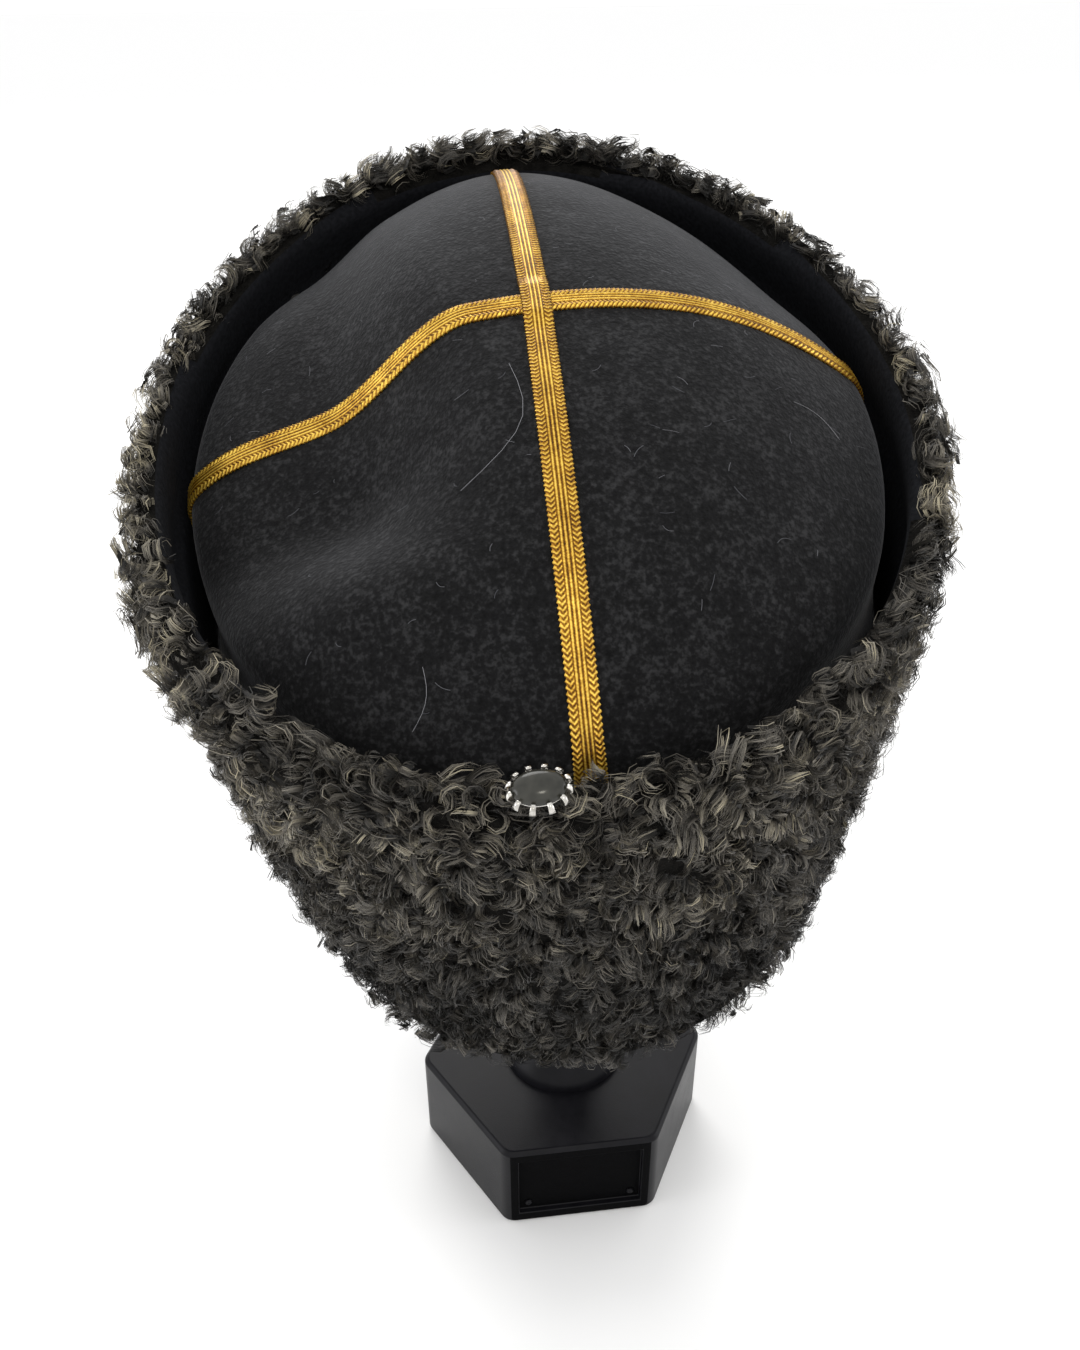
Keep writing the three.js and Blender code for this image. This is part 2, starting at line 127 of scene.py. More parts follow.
# Edge of the crown each 30 degrees from the hat's right, counter-clockwise: reach and drop
CROWN_REACH = np.array([1.00, 0.97, 0.97, 0.99, 0.98, 1.01, 1.03, 0.99, 1.00, 0.99, 0.99, 1.00])
CROWN_DROP = np.array([0.80, 1.05, 0.78, 0.45, 0.95, 0.32, 0.58, 0.95, 1.30, 1.20, 0.92, 0.98])

# Each 30 degrees from the hat's right: how far past the rim's crest the fur reaches before the cloth
# starts, and how far the curls stand above or below the band's mean outline, in millimetres
FUR_PAST_CREST = np.array([4.5, 8.0, 11.0, 12.0, 11.0, 9.0, 6.5, 7.0, 9.0, 10.0, 10.0, 8.0])
RIM_SWELL = np.array([-1.4, -4.4, -7.0, -4.0, -5.2, -5.4, -3.2, -0.4, -1.4, -2.2, -2.4, -3.4])

# The swell grows in over this run of the pelt, from this far past the hem
SWELL_START = 50.0
SWELL_RUN = 70.0

# How far the curls draw in half way up the wall
WALL_HOLLOW = 3.6

# The dent on the crown's left, in shares of the rim's half width and half length
DENT_START = -0.11
DENT_WIDTH = 0.375
DENT_SKEW = -0.28
DENT_NEAR_END = -0.56
DENT_FADE = 0.36
DENT_SHALLOWING = 0.9
DENT_TIGHTENING = 0.44
DENT_EDGE_START = 0.61
DENT_EDGE_SHALLOWING = 0.32

# Arms of the braids, as directions from the crossing
ARM_FRONT = math.radians(89.8)
ARM_BACK = math.radians(268.4)
ARM_LEFT = math.radians(181.6)
ARM_RIGHT = math.radians(-0.8)


# Numbers

def mix(start, end, share):
    return start + (end - start) * share


def smooth(share):
    """0 up to 0, 1 from 1 on, with an easy start and end in between."""
    t = np.clip(share, 0, 1)
    return t * t * (3 - 2 * t)


def curve_through(before, start, end, after, t):
    """Smooth curve from start to end, bent by their neighbours."""
    slope = end - before
    bend = 2 * before - 5 * start + 4 * end - after
    twist = 3 * (start - end) + after - before
    return start + 0.5 * t * (slope + t * (bend + t * twist))


def round_table(table, turn):
    """Value at a turn of a table whose entries go evenly round a full turn."""
    count = len(table)
    place = np.mod(turn, FULL_TURN) / FULL_TURN * count
    first = np.floor(place).astype(int)
    near = [table[(first + step) % count] for step in (-1, 0, 1, 2)]
    return curve_through(*near, place - first)


def turns(count):
    """Even steps round a full turn."""
    return np.arange(count) / count * FULL_TURN


def stacked(*values):
    """Values of shapes that go together, joined along a new last axis."""
    return np.stack(np.broadcast_arrays(*values), axis=-1)


def unit(vectors):
    return vectors / np.maximum(np.linalg.norm(vectors, axis=-1, keepdims=True), 1e-9)


def lattice_noise(points, cell, seed):
    """Smooth noise between -1 and 1 whose bumps are about one cell wide."""
    place = np.asarray(points, float) / cell
    low = np.floor(place).astype(np.int64)
    share = smooth(place - low)
    total = np.zeros(place.shape[:-1])
    for corner in product((0, 1), repeat=3):
        at = low + corner
        mixed = at[..., 0] * 374761393 + at[..., 1] * 668265263 + at[..., 2] * 2147483647 + seed * 974634777
        mixed = (mixed ^ (mixed >> 13)) * 1274126177
        value = ((mixed ^ (mixed >> 16)) & 0xFFFF) / 0x7FFF - 1
        weight = np.prod(np.where(corner, share, 1 - share), axis=-1)
        total += weight * value
    return total


# Hat outline

def hat_point(spread, inset, height, turn):
    """Points of the egg-shaped outline at a height and a distance inside it."""
    half_width = mix(HEM_HALF_WIDTH, RIM_HALF_WIDTH, spread) - inset
    half_length = mix(HEM_HALF_LENGTH, RIM_HALF_LENGTH, spread) - inset
    rise = height / HAT_HEIGHT
    right = half_width * np.cos(turn) * (1 - FRONT_NARROWING * np.sin(turn))
    forward = half_length * np.sin(turn) + RIM_FORWARD * rise
    up = height + RIM_TILT * np.sin(turn) * rise
    return stacked(right, forward, up)


def spread_at(height):
    """How far the wall has widened at a height, from 0 at the hem to 1 under the roll."""
    rise = np.clip(np.asarray(height, float) / ROLL_BASE, 0, 1)
    last = len(BAND_PROFILE) - 1
    upper = np.clip(np.searchsorted(BAND_PROFILE[:, 0], rise), 1, last)
    rows = [np.clip(upper + step, 0, last) for step in (-2, -1, 0, 1)]
    before, low, high, after = (BAND_PROFILE[row] for row in rows)
    share = (rise - low[..., 0]) / (high[..., 0] - low[..., 0])
    return curve_through(before[..., 1], low[..., 1], high[..., 1], after[..., 1], share)


def pelt_path():
    """Inset and height along the pelt's furry side, from the hem over the rolled rim into the groove."""
    share = np.linspace(0, 1, HEM_STEPS)
    hem = stacked(HEM_ROUNDING * (1 - share) ** 2, HEM_ROUNDING * share ** 2)
    face = np.array([[0, ROLL_BASE]])
    around = np.linspace(math.pi, 0, 40)
    roll_inset = ROLL_HALF_WIDTH * (1 + np.cos(around))
    roll = stacked(roll_inset, ROLL_BASE + ROLL_HEIGHT * np.sin(around))
    groove = np.array([[WALL_THICKNESS, GROOVE_FLOOR]])
    return np.concatenate([hem, face, roll[1:], groove])


PELT_PATH = pelt_path()
PELT_STEPS = np.concatenate([[0], np.cumsum(np.linalg.norm(np.diff(PELT_PATH, axis=0), axis=1))])
PELT_LENGTH = PELT_STEPS[-1]
FACE_END = PELT_STEPS[HEM_STEPS]
ROLL_END = PELT_STEPS[-2]
CREST = (FACE_END + ROLL_END) / 2


def section_at(along):
    """Inset and height of the furry side at a distance from the hem."""
    inside = np.clip(along, 0, PELT_LENGTH)
    return np.array([np.interp(inside, PELT_STEPS, PELT_PATH[:, axis]) for axis in (0, 1)])


def pelt_section(along):
    """Inset and height of the furry side at a distance from the hem, and the way out of it."""
    inset, height = section_at(along)
    step_in, step_up = section_at(along + 1.5) - section_at(along - 1.5)
    size = np.hypot(step_in, step_up)
    return inset, height, -step_up / size, step_in / size


def pelt_point(along, turn, lift=0.0):
    inset, height, out_inset, out_height = pelt_section(along)
    return hat_point(spread_at(height), inset + lift * out_inset, height + lift * out_height, turn)


def pelt_frame(along, turn):
    """Directions round the hat, up the section and out of the pelt."""
    round_it = unit(pelt_point(along, turn + 0.01) - pelt_point(along, turn - 0.01))
    up_it = pelt_point(np.minimum(along + 1, PELT_LENGTH), turn) - pelt_point(np.maximum(along - 1, 0), turn)
    out = unit(np.cross(round_it, unit(up_it)))
    return round_it, np.cross(out, round_it), out


def fur_end(turn):
    """Distance from the hem where the fur ends and the groove's cloth starts."""
    return CREST + round_table(FUR_PAST_CREST, turn)


def tuft_height(points, along, turn):
    """How far the fur stands above or below its mean: the rim's swell, broad locks and smaller curls."""
    swell = round_table(RIM_SWELL, turn) * smooth((along - SWELL_START) / SWELL_RUN)
    hollow = WALL_HOLLOW * np.sin(np.clip(along / ROLL_BASE, 0, 1) * math.pi)
    return swell - hollow + 1.4 * lattice_noise(points, 16, 3) + 0.7 * lattice_noise(points, 7, 4)


# Crown outline

def crown_reach(turn):
    """Distance from the crossing to the crown's upright edge in a direction."""
    turn = np.asarray(turn, float)
    inset = 2 * ROLL_HALF_WIDTH + GROOVE_GAP
    angle = turn.copy()
    for _ in range(12):
        offset = hat_point(1, inset, HAT_HEIGHT, angle)[..., :2] - CROSSING
        error = turn - np.arctan2(offset[..., 1], offset[..., 0])
        angle = angle + np.arctan2(np.sin(error), np.cos(error))
    offset = hat_point(1, inset, HAT_HEIGHT, angle)[..., :2] - CROSSING
    return np.linalg.norm(offset, axis=-1) * round_table(CROWN_REACH, turn)


def dent_at(right, forward, share):
    """Depth of the dent."""
    ahead = forward / RIM_HALF_LENGTH
    start = (DENT_START + DENT_SKEW * ahead) * RIM_HALF_WIDTH
    width = DENT_WIDTH * RIM_HALF_WIDTH * (1 - DENT_TIGHTENING * ahead)
    side = smooth((start - right) / width)
    fade = smooth((ahead - DENT_NEAR_END) / DENT_FADE)
    near_edge = 1 - DENT_EDGE_SHALLOWING * smooth((share - DENT_EDGE_START) / (1 - DENT_EDGE_START))
    return DENT_DEPTH * (1 - DENT_SHALLOWING * ahead) * side * fade * near_edge


def crown_point(share, turn):
    """Cloth at a share of the way from the crossing to where the edge starts to bend down."""
    outward = share * (crown_reach(turn) - CROWN_BEND)
    right = CROSSING[0] + outward * np.cos(turn)
    forward = CROSSING[1] + outward * np.sin(turn)
    edge = HAT_HEIGHT - CROWN_EDGE_DROP * round_table(CROWN_DROP, turn)
    dome = edge + (PEAK - edge) * (1 - share ** CROWN_FULLNESS)
    up = dome - dent_at(right, forward - RIM_FORWARD, share)
    return stacked(right, forward, up)


def skirt_point(turn, travel):
    """Cloth past the crown's edge: it bends over from the crown's own slope, then goes straight down."""
    rim, inner = crown_point(1.0, turn), crown_point(0.95, turn)
    run = np.linalg.norm((rim - inner)[..., :2], axis=-1)
    slope = np.clip(np.arctan2((inner - rim)[..., 2], run), 0, STEEPEST_EDGE)
    radius = CROWN_BEND / (1 - np.sin(slope))
    angle = np.minimum(slope + travel / radius, math.pi / 2)
    outward = radius * (np.sin(angle) - np.sin(slope))
    straight = np.maximum(travel - radius * (math.pi / 2 - slope), 0)
    down = radius * (np.cos(slope) - np.cos(angle)) + straight
    return rim + stacked(outward * np.cos(turn), outward * np.sin(turn), -down)


def felt_point(right, forward):
    """Cloth at a distance to the right and ahead of the crossing."""
    heading = np.arctan2(forward, right)
    share = np.hypot(right, forward) / (crown_reach(heading) - CROWN_BEND)
    return crown_point(np.minimum(share, 1), heading)


def arm_point(turn, along, aside):
    """Cloth beside an arm of a braid; past the crown's edge it goes down the skirt."""
    flat = crown_reach(turn) - CROWN_BEND
    right = along * math.cos(turn) - aside * math.sin(turn)
    forward = along * math.sin(turn) + aside * math.cos(turn)
    on_top = felt_point(right, forward)
    on_skirt = skirt_point(turn + np.arctan2(aside, flat), np.maximum(along - flat, 0))
    return np.where((along <= flat)[..., None], on_top, on_skirt)


# Meshes

def hat_to_row(points):
    place = np.array(HAT_PLACE)
    return points * MM @ place[:3, :3].T + place[:3, 3]


def put_in_scene(name, data):
    made = bpy.data.objects.new(name, data)
    bpy.context.scene.collection.objects.link(made)
    return made


def make_piece(name, points, faces, finishes, finish_index=None, uv=None, flat=False):
    """A mesh from points in metres and one or more arrays of faces of one size each."""
    groups = faces if isinstance(faces, (list, tuple)) else [faces]
    corners = np.concatenate([group.ravel() for group in groups]).astype(np.int32)
    sizes = np.concatenate([np.full(len(group), group.shape[1]) for group in groups])
    starts = np.concatenate([[0], np.cumsum(sizes)[:-1]]).astype(np.int32)
    mesh = bpy.data.meshes.new(name)
    mesh.vertices.add(len(points))
    mesh.vertices.foreach_set("co", np.asarray(points, np.float32).ravel())
    mesh.loops.add(len(corners))
    mesh.loops.foreach_set("vertex_index", corners)
    mesh.polygons.add(len(starts))
    mesh.polygons.foreach_set("loop_start", starts)
    if finish_index is not None:
        mesh.polygons.foreach_set("material_index", finish_index.astype(np.int32))
    mesh.update(calc_edges=True)
    if not flat:
        mesh.shade_smooth()
    if uv is not None:
        layer = mesh.uv_layers.new(name="OFBake")
        layer.data.foreach_set("uv", np.asarray(uv, np.float32)[corners].ravel())
    for finish in finishes:
        mesh.materials.append(finish)
    return put_in_scene(name, mesh)


def grid_faces(rows, columns, loop_rows=False):
    """Quads of rings of points, of which the last may join the first."""
    row = np.arange(rows if loop_rows else rows - 1)[:, None]
    column = np.arange(columns)[None, :]
    next_row = (row + 1) % rows
    next_column = (column + 1) % columns
    return stacked(row * columns + column, row * columns + next_column,
                   next_row * columns + next_column, next_row * columns + column).reshape(-1, 4)


def capped_faces(rows, columns):
    """Faces of rings of points that close over two poles, which follow the rings."""
    here = np.arange(columns)
    beside = (here + 1) % columns
    pole = rows * columns
    last = (rows - 1) * columns
    caps = [stacked(pole, beside, here), stacked(pole + 1, last + here, last + beside)]
    return [grid_faces(rows, columns), *caps]


def with_poles(rings):
    """Points of rings, then the middles of the first and the last one."""
    return np.concatenate([*rings, [rings[0].mean(0), rings[-1].mean(0)]])


def ribbon_faces(count, length):
    """Quads of ribbons whose points come in pairs along each one."""
    place = np.arange(count)[:, None] * 2 * length + 2 * np.arange(length - 1)[None, :]
    return stacked(place, place + 1, place + 3, place + 2).reshape(-1, 4)


def lathe(name, profile, columns, finish):
    """A solid turned about the upright axis from (radius, height) pairs in millimetres that end on it."""
    radii, heights = np.array(profile[1:-1], float).T
    turn = turns(columns)
    rings = stacked(np.outer(radii, np.cos(turn)), np.outer(radii, np.sin(turn)), heights[:, None])
    poles = np.array([[0, 0, profile[0][1]], [0, 0, profile[-1][1]]], float)
    points = np.concatenate([*rings, poles]) * MM
    return make_piece(name, points, capped_faces(len(rings), columns), [finish])


def corner_arc(start, corner, end, steps):
    """Points of a curve that rounds a corner."""
    return [(1 - share) ** 2 * start + 2 * share * (1 - share) * corner + share ** 2 * end
            for share in np.linspace(0, 1, steps)]


def rounded_profile(corners, radius):
    """Profile with each inner corner rounded by a short arc of chords."""
    corners = np.array(corners, float)
    points = [corners[0]]
    for before, here, after in zip(corners, corners[1:], corners[2:]):
        start, end = (here + unit(other - here) * min(radius, np.linalg.norm(other - here) * 0.45)
                      for other in (before, after))
        points.extend(corner_arc(start, here, end, 5))
    return [*points, corners[-1]]


# Finishes

class Value:
    """One output of a shader node. Arithmetic on it adds Math nodes."""

    def __init__(self, finish, socket):
        self.finish = finish
        self.socket = socket

    def maths(self, operation, *others):
        return self.finish.node("Math", {"operation": operation}, dict(enumerate((self, *others))))

    def __add__(self, other):
        return self.maths("ADD", other)

    def __sub__(self, other):
        return self.maths("SUBTRACT", other)

    def __rsub__(self, other):
        return self.finish.node("Math", {"operation": "SUBTRACT"}, {0: other, 1: self})

    def __mul__(self, other):
        return self.maths("MULTIPLY", other)

    __radd__ = __add__
    __rmul__ = __mul__

    def __abs__(self):
        return self.maths("ABSOLUTE")

    def wave(self):
        """A cosine of the value between 0 and 1."""
        return self.maths("COSINE") * 0.5 + 0.5

    def between(self, low, high):
        """0 below low, 1 above high, smooth in between."""
        settings = {"interpolation_type": "SMOOTHSTEP"}
        return self.finish.node("MapRange", settings, {"Value": self, "From Min": low, "From Max": high})


class Finish:
    """A material's shader tree."""

    def __init__(self, name):
        self.material = bpy.data.materials.new(name)
        self.material.use_nodes = True
        self.tree = self.material.node_tree
        self.tree.nodes.clear()

    def node(self, kind, settings=None, inputs=None, output=0):
        """Adds a node with its settings first, then its inputs' values or links."""
        made = self.tree.nodes.new("ShaderNode" + kind)
        for name, value in (settings or {}).items():
            if name == "stops":
                self.set_stops(made.color_ramp, value)
            else:
                setattr(made, name, value)
        for name, value in (inputs or {}).items():
            if isinstance(value, Value):
                self.tree.links.new(value.socket, made.inputs[name])
            else:
                made.inputs[name].default_value = value
        return Value(self, made.outputs[output]) if made.outputs else None

    @staticmethod
    def set_stops(ramp, stops):
        while len(ramp.elements) < len(stops):
            ramp.elements.new(1.0)
        for element, (place, colour) in zip(ramp.elements, stops):
            element.position = place
            element.color = (*colour, 1)

    def uv(self, output):
        spot = self.node("UVMap", {"uv_map": "OFBake"})
        return self.node("SeparateXYZ", inputs={0: spot}, output=output)

    def noise(self, size, detail=2.0, roughness=0.5):
        """Noise in the part's own space whose bumps are size metres wide."""
        spot = self.node("TexCoord", output="Object")
        inputs = {"Vector": spot, "Scale": 1 / size, "Detail": detail, "Roughness": roughness}
        return self.node("TexNoise", inputs=inputs, output="Fac")

    def noise_at(self, x, y, z, detail=1.0):
        """Noise at a place given by three values, with bumps about one unit wide."""
        spot = self.node("CombineXYZ", inputs={0: x, 1: y, 2: z})
        return self.node("TexNoise", inputs={"Vector": spot, "Scale": 1.0, "Detail": detail}, output="Fac")

    def ramp(self, value, stops):
        return self.node("ValToRGB", {"stops": stops}, {0: value}, output="Color")

    @staticmethod
    def colour(value):
        return value if isinstance(value, Value) else (*value, 1)

    def bump(self, height, depth, strength=1.0):
        return self.node("Bump", inputs={"Height": height, "Distance": depth, "Strength": strength})

    def surface(self, **inputs):
        """Ends the tree with the shader; underscores in names stand for spaces."""
        named = {name.replace("_", " "): value for name, value in inputs.items()}
        for name in ("Base Color", "Sheen Tint"):
            if name in named:
                named[name] = self.colour(named[name])
        shader = self.node("BsdfPrincipled", inputs=named)
        self.node("OutputMaterial", inputs={"Surface": shader})
        return self.material


def curl_finish():
    """Strands of wool: near black at the root, part wool colour and part painted shade, grey and cream
    towards the tip, with gaps between them.
    """
    finish = Finish("karakul_curls")
    column = finish.uv(0) * SHADE_STEPS
    row = finish.uv(1) * STRAND_PATTERNS
    step = column.maths("FLOOR")
    pattern = row.maths("FLOOR")
    across = column - step
    along = row - pattern
    place = step * 7.3 + pattern * 31.7
    strands = finish.noise_at(across * 10, along * 1.1, place)
    gap = 0.4 + 0.2 * along * along + 0.3 * abs(across - 0.5).between(0.3, 0.5)
    single = 1 - pattern.between(0.2, 0.8)
    cover = (strands - gap).between(-0.015, 0.03).maths("MAXIMUM", single)
    tint = finish.noise_at(across * 12, along * 1.6, place + 3.1)
    tone = (step + 0.5) * (1 / SHADE_STEPS) + (tint - 0.5) * 0.5
    # Darker towards the root: partly the wool's own colour, partly painted shade in the depth of the fur.
    tone_with_root_shade = tone * (0.1 + 0.86 * along.between(0.0, 0.6))
    stops = [(0.0, (0.004, 0.0038, 0.0034)), (0.2, (0.019, 0.0175, 0.015)), (0.42, (0.066, 0.06, 0.051)),
             (0.64, (0.145, 0.132, 0.11)), (0.84, (0.29, 0.262, 0.2)), (1.0, (0.52, 0.46, 0.31))]
    hue = finish.ramp(tone_with_root_shade, stops)
    return finish.surface(Base_Color=hue, Roughness=0.55, Specular_IOR_Level=0.3, Alpha=cover)


def pelt_finish():
    """Short dark under-fur between the curls, darkened further as painted shade of the fur's depths."""
    finish = Finish("karakul_under_fur_and_depth_shade")
    clumps = finish.noise(0.004, 3)
    hairs = finish.noise(0.0007, 2)
    tone = clumps * 0.6 + hairs * 0.4
    # Near black: the under-fur's own dark colour and painted shade deep between the curls.
    hue = finish.ramp(tone, [(0.3, (0.0015, 0.0015, 0.0014)), (0.75, (0.014, 0.013, 0.0115))])
    normal = finish.bump(clumps + hairs * 0.5, 0.0012)
    return finish.surface(Base_Color=hue, Roughness=0.95, Specular_IOR_Level=0.05, Normal=normal)


def lining_finish():
    """Dark cloth of the groove and the inside of the band."""
    finish = Finish("band_cloth")
    nap = finish.noise(0.0012, 3)
    hue = finish.ramp(nap, [(0.3, (0.0045, 0.0048, 0.006)), (0.7, (0.0115, 0.012, 0.0145))])
    normal = finish.bump(nap, 0.0003)
    return finish.surface(Base_Color=hue, Roughness=0.95, Specular_IOR_Level=0.1, Normal=normal)


def felt_finish():
    """Fulled melange wool: dark grey with darker and lighter flecks and a soft nap."""
    finish = Finish("melange_felt")
    cloud = finish.noise(0.012, 2)
    fleck = finish.noise(0.0022, 3, 0.6)
    pit = finish.noise(0.0011, 2, 0.5)
    tone = cloud * 0.22 + fleck * 0.48 + pit * 0.3
    stops = [(0.34, (0.0022, 0.0022, 0.0024)), (0.5, (0.0066, 0.0066, 0.007)), (0.66, (0.026, 0.026, 0.0272))]
    hue = finish.ramp(tone, stops)
    normal = finish.bump(fleck * 0.6 + pit * 0.4, 0.0005, 0.8)
    return finish.surface(Base_Color=hue, Roughness=0.92, Specular_IOR_Level=0.15, Normal=normal,
                          Sheen_Weight=0.18, Sheen_Roughness=0.4, Sheen_Tint=(0.6, 0.61, 0.65))


def fibre_finish():
    finish = Finish("loose_wool_fibre")
    shade = finish.uv(0)
    hue = finish.ramp(shade, [(0.0, (0.06, 0.062, 0.072)), (1.0, (0.3, 0.3, 0.32))])
    return finish.surface(Base_Color=hue, Roughness=0.7, Specular_IOR_Level=0.2)


def braid_finish(name, length):
    """Metallic galloon: bright cords along the middle and a herringbone at each edge, with painted shade in
    the valleys of the weave.
    """
    finish = Finish(name)
    across = finish.uv(0) * 2 - 1
    side = abs(across) * BRAID_HALF_WIDTH
    along = finish.uv(1) * length
    middle = 1 - side.between(CORDS_END, CORDS_END + 0.3)
    cords = (side * (FULL_TURN / RIB_PITCH)).wave()
    slant = abs(side - STITCH_TURN)
    stitches = ((along + slant * STITCH_SLANT) * (FULL_TURN / LOOP_PITCH)).wave()
    picks = (along * (FULL_TURN / 0.6) + side * 5).maths("SINE") * 0.5 + 0.5
    wander = finish.noise(0.007, 2)
    # Painted glints: fine flecks of the thread are lighter in colour, and smoother.
    glint = finish.noise(0.0007, 2)
    # Painted shade: the colour darkens in the valleys between the cords and between the stitches.
    weave = middle * (cords * 0.9 + picks * 0.1) + (1 - middle) * (stitches * 0.85 + picks * 0.15)
    tone = weave * 0.66 + (glint - 0.5) * 0.6 + (wander - 0.5) * 0.5 + 0.2
    stops = [(0.08, (0.03, 0.01, 0.001)), (0.36, (0.2, 0.08, 0.003)), (0.58, (0.45, 0.23, 0.016)),
             (0.88, (0.88, 0.6, 0.1))]
    hue = finish.ramp(tone, stops)
    rough = 0.55 - 0.3 * glint
    return finish.surface(Base_Color=hue, Metallic=0.72, Roughness=rough)


def tin_finish():
    finish = Finish("bright_tin")
    wear = finish.noise(0.0015, 3)
    hue = finish.ramp(wear, [(0.3, (0.42, 0.4, 0.36)), (0.7, (0.8, 0.78, 0.74))])
    return finish.surface(Base_Color=hue, Metallic=1.0, Roughness=0.16 + 0.2 * wear)


def enamel_finish():
    finish = Finish("grey_enamel")
    cloud = finish.noise(0.003, 2)
    hue = finish.ramp(cloud, [(0.3, (0.022, 0.022, 0.018)), (0.7, (0.042, 0.041, 0.034))])
    return finish.surface(Base_Color=hue, Roughness=0.16, Specular_IOR_Level=0.35)


def stand_finish():
    """Satin black plastic with faint handling marks."""
    finish = Finish("satin_black_plastic")
    grain = finish.noise(0.0004, 2)
    marks = finish.noise(0.012, 4, 0.65)
    hue = finish.ramp(marks, [(0.3, (0.0035, 0.0035, 0.0045)), (0.7, (0.008, 0.0078, 0.0098))])
    rough = 0.26 + 0.16 * marks
    normal = finish.bump(grain, 0.00004)
    return finish.surface(Base_Color=hue, Roughness=rough, Specular_IOR_Level=0.13, Normal=normal)


def near_facet_shade_finish():
    """Darker, duller copy of the black plastic on the stand's near facet: painted shade."""
    finish = Finish("near_facet_painted_shade")
    grain = finish.noise(0.0006, 2)
    hue = finish.ramp(grain, [(0.3, (0.0012, 0.0012, 0.0014)), (0.7, (0.003, 0.003, 0.0034))])
    return finish.surface(Base_Color=hue, Roughness=0.7, Specular_IOR_Level=0.03)


def floor_finish():
    finish = Finish("pale_floor")
    return finish.surface(Base_Color=(0.9, 0.9, 0.9), Roughness=0.9, Specular_IOR_Level=0.1)


# Camera

def place_camera():
    """Looks down at the near side of the crown."""
    yaw, down, roll = CAMERA_YAW, CAMERA_DOWN, CAMERA_ROLL
    ahead = Vector((-math.sin(yaw) * math.cos(down), math.cos(yaw) * math.cos(down), -math.sin(down)))
    level = Vector((math.cos(yaw), math.sin(yaw), 0))
    above = level.cross(ahead)
    right = math.cos(roll) * level + math.sin(roll) * above
    up = math.cos(roll) * above - math.sin(roll) * level
    turn = Matrix((right, up, -ahead)).transposed().to_4x4()
    data = bpy.data.cameras.new("camera")
    data.lens = CAMERA_LENS
    data.sensor_width = 36
    data.clip_start = 0.01
    camera = put_in_scene("camera", data)
    camera.matrix_world = HAT_PLACE @ Matrix.Translation(CAMERA_PLACE * MM) @ turn
    bpy.context.scene.camera = camera


# Fur band

PELT_COLUMNS = 360
PELT_ROWS = 60
PELT_DEPTH = 4.2


def fur_pelt():
    """The pelt under the curls, with the cloth of the groove and of the inside."""
    along = np.linspace(0, PELT_LENGTH, PELT_ROWS)[:, None]
    turn = turns(PELT_COLUMNS)[None, :]
    bare = pelt_point(along, turn)
    furry = 1 - smooth((along - fur_end(turn) + 1) / 3)
    depth = PELT_DEPTH * mix(0.4, 1, furry) * smooth(along / 3) - 0.9 * tuft_height(bare, along, turn) * furry
    bumps = 0.8 * lattice_noise(bare, 5, 9) * furry
    outside = pelt_point(along, turn, -np.maximum(depth - bumps, 0.3))
    inner_rows = []
    for share in (0.02, 0.2, 0.4, 0.6, 0.8, 1.0):
        height = GROOVE_FLOOR * (1 - share)
        inner_rows.append(hat_point(spread_at(height), WALL_THICKNESS, height, turn[0]))
    points = np.concatenate([outside.reshape(-1, 3), *inner_rows])
    rows = PELT_ROWS + len(inner_rows)
    faces = grid_faces(rows, PELT_COLUMNS, loop_rows=True)
    face_along = np.concatenate([along[:, 0], np.full(len(inner_rows), PELT_LENGTH)])[:, None]
    cloth = (face_along > fur_end(turn) + 0.5).ravel()
    return make_piece("fur_pelt", hat_to_row(points), faces, [pelt_finish(), lining_finish()], cloth)


# Curls: millimetres between them, their lean out of the pelt in degrees and their radius, first on the
# wall and then on the roll, their width, and where their strands start and how far they turn, in degrees
LOCK_PITCH = 5.4
WALL_LEAN = (5, 55)
ROLL_LEAN = (35, 78)
WALL_RADIUS = (2.2, 4.6)
ROLL_RADIUS = (2.4, 4.8)
LOCK_WIDTH = (3.6, 7.5)
STRAND_START = (-15, 14)
STRAND_SWEEP = (225, 38)
STRANDS_PER_LOCK = 16
STRAND_POINTS = 6
STRAND_WIDTH = 1.25
SINGLE_WIDTH = 0.24
SINGLE_SHARE = 0.56
SHADE_STEPS = 12
STRAND_PATTERNS = 4
CURL_PIECES = 6


def lock_roots(rng):
    """Places of the curls over the pelt: distance from the hem and turn, in staggered rows."""
    alongs, turns = [], []
    rows = round((ROLL_END - 4) / LOCK_PITCH)
    for row in range(rows):
        along = (row + 0.5) * (ROLL_END - 4) / rows
        ring = pelt_point(along, np.linspace(0, FULL_TURN, 181))
        perimeter = np.linalg.norm(np.diff(ring, axis=0), axis=1).sum()
        count = round(perimeter / LOCK_PITCH)
        shift = 0.5 * (row % 2)
        turn = (np.arange(count) + shift + rng.uniform(-0.35, 0.35, count)) / count * FULL_TURN
        alongs.append(along + rng.uniform(-0.35, 0.35, count) * LOCK_PITCH)
        turns.append(turn)
    along = np.concatenate(alongs)
    turn = np.concatenate(turns) % FULL_TURN
    furry = along < fur_end(turn)
    return along[furry], turn[furry]


def cream_share(points):
    """Where the fleece pales to cream: patches along both sides of the rim and a few elsewhere."""
    rim = smooth((points[..., 2] - 120) / 40)
    patches = smooth((lattice_noise(points, 24, 21) - 0.1) / 0.5)
    fine = smooth((lattice_noise(points, 9, 22) - 0.15) / 0.5)
    right = smooth((points[..., 0] - 40) / 40)
    left = smooth((-points[..., 0] - 75) / 25)
    sides = np.maximum(right * patches * 0.8, left * np.maximum(patches, fine) * 0.75)
    return rim * sides + 0.35 * fine * patches


